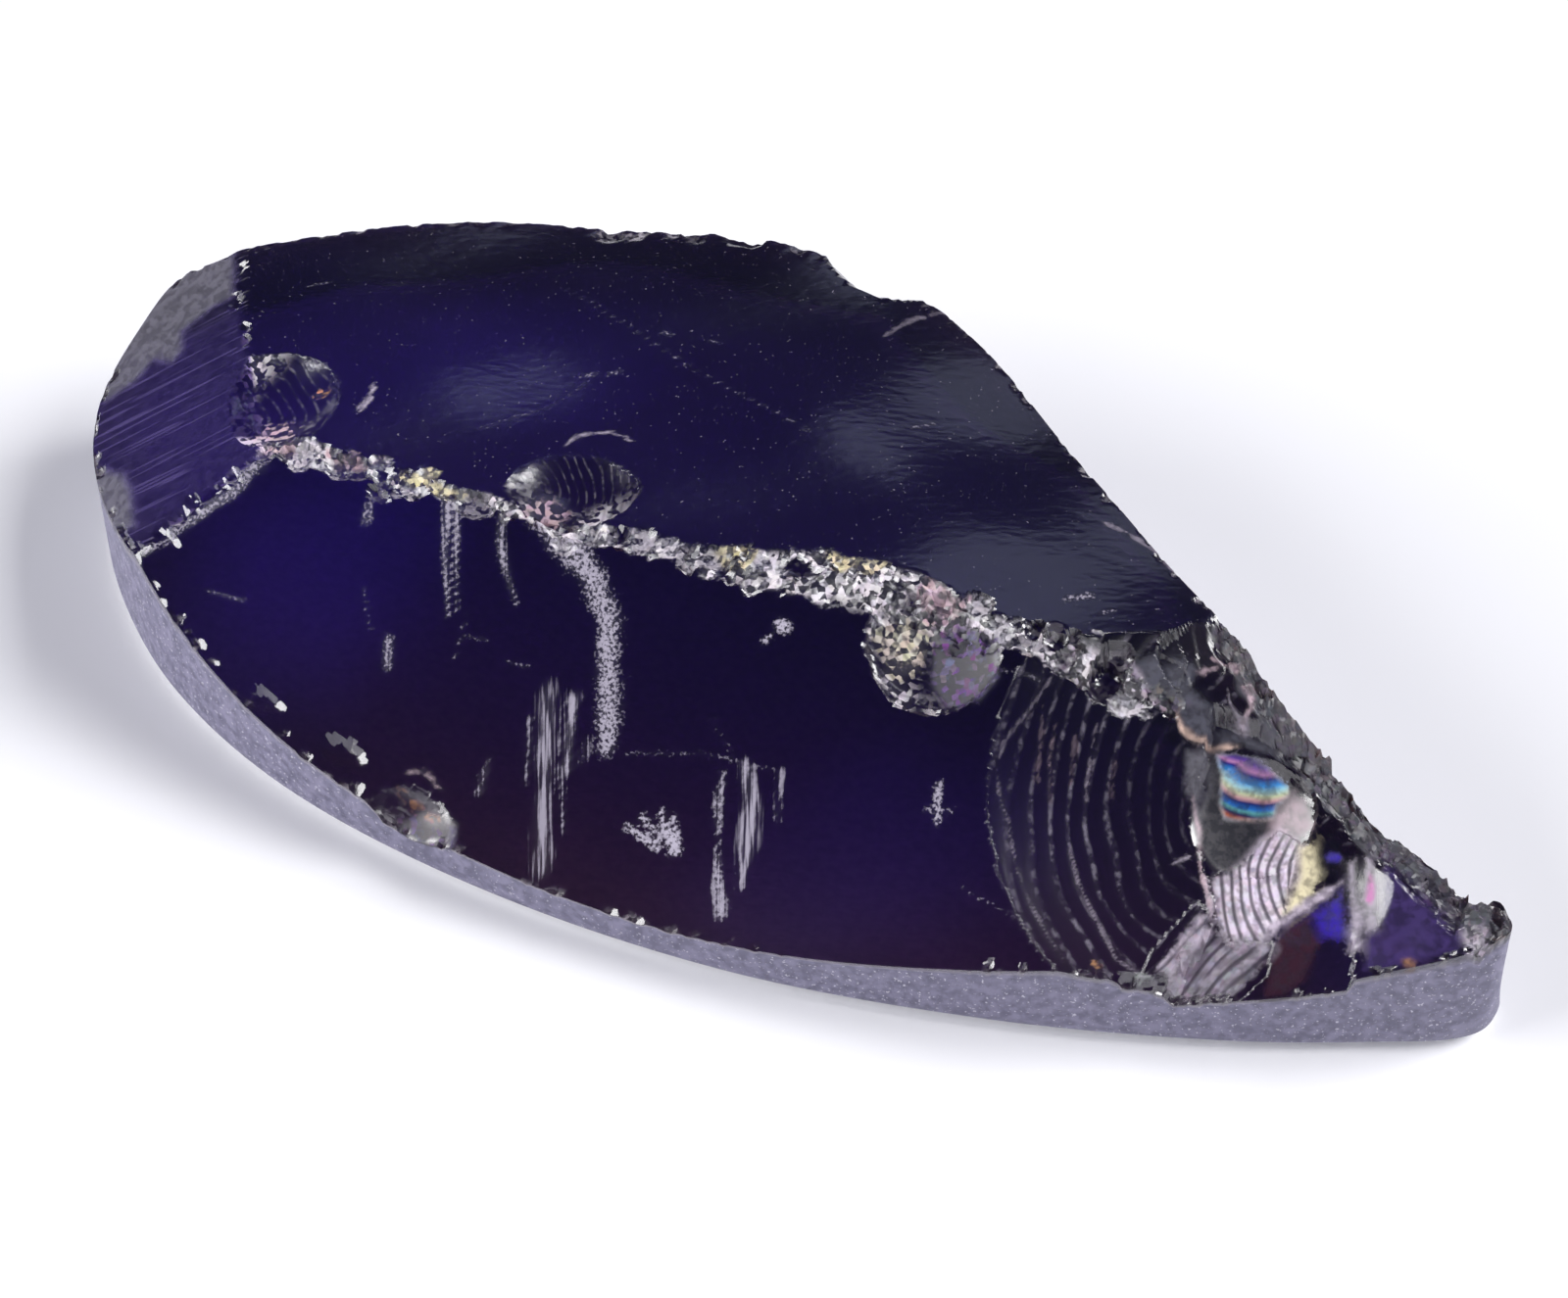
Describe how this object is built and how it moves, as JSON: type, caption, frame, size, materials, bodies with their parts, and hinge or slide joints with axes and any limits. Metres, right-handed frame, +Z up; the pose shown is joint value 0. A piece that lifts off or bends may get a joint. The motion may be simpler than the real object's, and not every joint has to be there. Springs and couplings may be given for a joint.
{
  "type": "rough zircon crystal",
  "caption": "Broken and partly ground rough crystal, a low wedge with two flat facets, a chipped ridge between them and a shell-like fracture at one end, that rests on its flat base.",
  "frame": {"origin": "middle of the flat ground base", "axes": "+X along the stone to its blunt tip, -Y towards the ground front skin, +Z up from the base"},
  "size_m": [0.0627, 0.0307, 0.0119],
  "materials": {
    "violet_crystal": "glossy where broken and cut, matt where ground"
  },
  "bodies": {
    "root": {"stone": "violet_crystal"}
  },
  "joints": []
}
